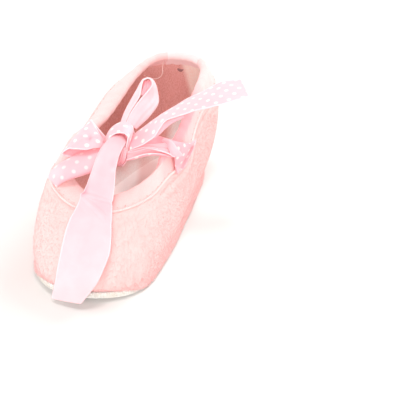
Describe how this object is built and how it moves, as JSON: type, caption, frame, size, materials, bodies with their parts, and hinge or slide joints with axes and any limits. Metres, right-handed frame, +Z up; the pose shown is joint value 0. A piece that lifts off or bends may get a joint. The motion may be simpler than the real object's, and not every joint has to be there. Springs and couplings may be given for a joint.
{
  "type": "baby ballet slipper",
  "caption": "Soft baby ballet slipper with a folded collar binding, a flat textile sole and a satin ribbon tied in a bow across the instep.",
  "frame": {"origin": "centre of the bounding box of the slipper without its bow, at floor level", "axes": "+Z up out of the foot opening, -Y towards the toe, +Y towards the heel, +X towards the inner side of the right foot"},
  "size_m": [0.0677, 0.1107, 0.061],
  "materials": {
    "sole_textile": "matt cream brushed textile",
    "insole_cloth": "matt pale pink cotton",
    "velour": "short pile velour",
    "binding_cloth": "smooth jersey",
    "ribbon_satin": "satin, one face dotted white"
  },
  "bodies": {
    "root": {"outsole": "sole_textile", "insole": "insole_cloth", "upper": "velour", "collar_binding": "binding_cloth", "heel_tab": "binding_cloth", "ribbon_run_left": "ribbon_satin", "ribbon_run_right": "ribbon_satin", "ribbon_knot": "ribbon_satin", "ribbon_loop_left": "ribbon_satin", "ribbon_loop_upper": "ribbon_satin", "ribbon_tail_satin": "ribbon_satin", "ribbon_tail_dotted": "ribbon_satin"}
  },
  "joints": []
}
